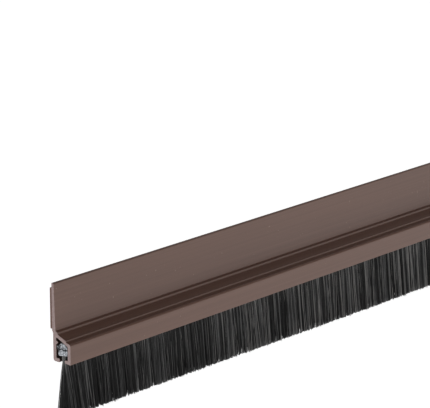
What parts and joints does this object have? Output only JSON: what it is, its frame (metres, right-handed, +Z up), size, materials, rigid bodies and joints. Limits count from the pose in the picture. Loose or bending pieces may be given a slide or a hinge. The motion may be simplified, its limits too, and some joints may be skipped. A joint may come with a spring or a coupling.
{
  "type": "door sweep",
  "caption": "Self-adhesive brush door sweep: brown PVC carrier for a door's face, with a steel-backed black bristle strip in its channel.",
  "frame": {"origin": "centre of the back face of the adhesive tape, which lies on the door", "axes": "+X along the door, +Y into the door's face, +Z up towards the top of the door"},
  "size_m": [1, 0.0125, 0.0625],
  "materials": {
    "carrier_pvc": "satin",
    "tape": "matte",
    "backing_steel": "satin",
    "wire_steel": "satin",
    "bristle_nylon": "matte"
  },
  "bodies": {
    "carrier": {"carrier": "carrier_pvc", "adhesive_tape": "tape"},
    "brush_strip": {"brush_backing": "backing_steel", "core_wire": "wire_steel", "bristle_roots": "bristle_nylon"},
    "bristles_01": {"bristles_01": "bristle_nylon"},
    "bristles_02": {"bristles_02": "bristle_nylon"},
    "bristles_03": {"bristles_03": "bristle_nylon"},
    "bristles_04": {"bristles_04": "bristle_nylon"},
    "bristles_05": {"bristles_05": "bristle_nylon"},
    "bristles_06": {"bristles_06": "bristle_nylon"},
    "bristles_07": {"bristles_07": "bristle_nylon"},
    "bristles_08": {"bristles_08": "bristle_nylon"},
    "bristles_09": {"bristles_09": "bristle_nylon"},
    "bristles_10": {"bristles_10": "bristle_nylon"},
    "bristles_11": {"bristles_11": "bristle_nylon"},
    "bristles_12": {"bristles_12": "bristle_nylon"},
    "bristles_13": {"bristles_13": "bristle_nylon"},
    "bristles_14": {"bristles_14": "bristle_nylon"},
    "bristles_15": {"bristles_15": "bristle_nylon"},
    "bristles_16": {"bristles_16": "bristle_nylon"},
    "bristles_17": {"bristles_17": "bristle_nylon"},
    "bristles_18": {"bristles_18": "bristle_nylon"},
    "bristles_19": {"bristles_19": "bristle_nylon"},
    "bristles_20": {"bristles_20": "bristle_nylon"}
  },
  "joints": [
    {"name": "brush_slide", "type": "slide", "parent": "carrier", "child": "brush_strip", "axis": [1, 0, 0], "range_m": [-0.95, 0.95]},
    {"name": "bristle_flex_01", "type": "hinge", "parent": "brush_strip", "child": "bristles_01", "pos_m": [0, -0.0076, -0.0248], "axis": [1, 0, 0], "range_deg": [-45, 45], "stiffness_Nm_per_rad": 0.02},
    {"name": "bristle_flex_02", "type": "hinge", "parent": "brush_strip", "child": "bristles_02", "pos_m": [0, -0.0076, -0.0248], "axis": [1, 0, 0], "range_deg": [-45, 45], "stiffness_Nm_per_rad": 0.02},
    {"name": "bristle_flex_03", "type": "hinge", "parent": "brush_strip", "child": "bristles_03", "pos_m": [0, -0.0076, -0.0248], "axis": [1, 0, 0], "range_deg": [-45, 45], "stiffness_Nm_per_rad": 0.02},
    {"name": "bristle_flex_04", "type": "hinge", "parent": "brush_strip", "child": "bristles_04", "pos_m": [0, -0.0076, -0.0248], "axis": [1, 0, 0], "range_deg": [-45, 45], "stiffness_Nm_per_rad": 0.02},
    {"name": "bristle_flex_05", "type": "hinge", "parent": "brush_strip", "child": "bristles_05", "pos_m": [0, -0.0076, -0.0248], "axis": [1, 0, 0], "range_deg": [-45, 45], "stiffness_Nm_per_rad": 0.02},
    {"name": "bristle_flex_06", "type": "hinge", "parent": "brush_strip", "child": "bristles_06", "pos_m": [0, -0.0076, -0.0248], "axis": [1, 0, 0], "range_deg": [-45, 45], "stiffness_Nm_per_rad": 0.02},
    {"name": "bristle_flex_07", "type": "hinge", "parent": "brush_strip", "child": "bristles_07", "pos_m": [0, -0.0076, -0.0248], "axis": [1, 0, 0], "range_deg": [-45, 45], "stiffness_Nm_per_rad": 0.02},
    {"name": "bristle_flex_08", "type": "hinge", "parent": "brush_strip", "child": "bristles_08", "pos_m": [0, -0.0076, -0.0248], "axis": [1, 0, 0], "range_deg": [-45, 45], "stiffness_Nm_per_rad": 0.02},
    {"name": "bristle_flex_09", "type": "hinge", "parent": "brush_strip", "child": "bristles_09", "pos_m": [0, -0.0076, -0.0248], "axis": [1, 0, 0], "range_deg": [-45, 45], "stiffness_Nm_per_rad": 0.02},
    {"name": "bristle_flex_10", "type": "hinge", "parent": "brush_strip", "child": "bristles_10", "pos_m": [0, -0.0076, -0.0248], "axis": [1, 0, 0], "range_deg": [-45, 45], "stiffness_Nm_per_rad": 0.02},
    {"name": "bristle_flex_11", "type": "hinge", "parent": "brush_strip", "child": "bristles_11", "pos_m": [0, -0.0076, -0.0248], "axis": [1, 0, 0], "range_deg": [-45, 45], "stiffness_Nm_per_rad": 0.02},
    {"name": "bristle_flex_12", "type": "hinge", "parent": "brush_strip", "child": "bristles_12", "pos_m": [0, -0.0076, -0.0248], "axis": [1, 0, 0], "range_deg": [-45, 45], "stiffness_Nm_per_rad": 0.02},
    {"name": "bristle_flex_13", "type": "hinge", "parent": "brush_strip", "child": "bristles_13", "pos_m": [0, -0.0076, -0.0248], "axis": [1, 0, 0], "range_deg": [-45, 45], "stiffness_Nm_per_rad": 0.02},
    {"name": "bristle_flex_14", "type": "hinge", "parent": "brush_strip", "child": "bristles_14", "pos_m": [0, -0.0076, -0.0248], "axis": [1, 0, 0], "range_deg": [-45, 45], "stiffness_Nm_per_rad": 0.02},
    {"name": "bristle_flex_15", "type": "hinge", "parent": "brush_strip", "child": "bristles_15", "pos_m": [0, -0.0076, -0.0248], "axis": [1, 0, 0], "range_deg": [-45, 45], "stiffness_Nm_per_rad": 0.02},
    {"name": "bristle_flex_16", "type": "hinge", "parent": "brush_strip", "child": "bristles_16", "pos_m": [0, -0.0076, -0.0248], "axis": [1, 0, 0], "range_deg": [-45, 45], "stiffness_Nm_per_rad": 0.02},
    {"name": "bristle_flex_17", "type": "hinge", "parent": "brush_strip", "child": "bristles_17", "pos_m": [0, -0.0076, -0.0248], "axis": [1, 0, 0], "range_deg": [-45, 45], "stiffness_Nm_per_rad": 0.02},
    {"name": "bristle_flex_18", "type": "hinge", "parent": "brush_strip", "child": "bristles_18", "pos_m": [0, -0.0076, -0.0248], "axis": [1, 0, 0], "range_deg": [-45, 45], "stiffness_Nm_per_rad": 0.02},
    {"name": "bristle_flex_19", "type": "hinge", "parent": "brush_strip", "child": "bristles_19", "pos_m": [0, -0.0076, -0.0248], "axis": [1, 0, 0], "range_deg": [-45, 45], "stiffness_Nm_per_rad": 0.02},
    {"name": "bristle_flex_20", "type": "hinge", "parent": "brush_strip", "child": "bristles_20", "pos_m": [0, -0.0076, -0.0248], "axis": [1, 0, 0], "range_deg": [-45, 45], "stiffness_Nm_per_rad": 0.02}
  ]
}
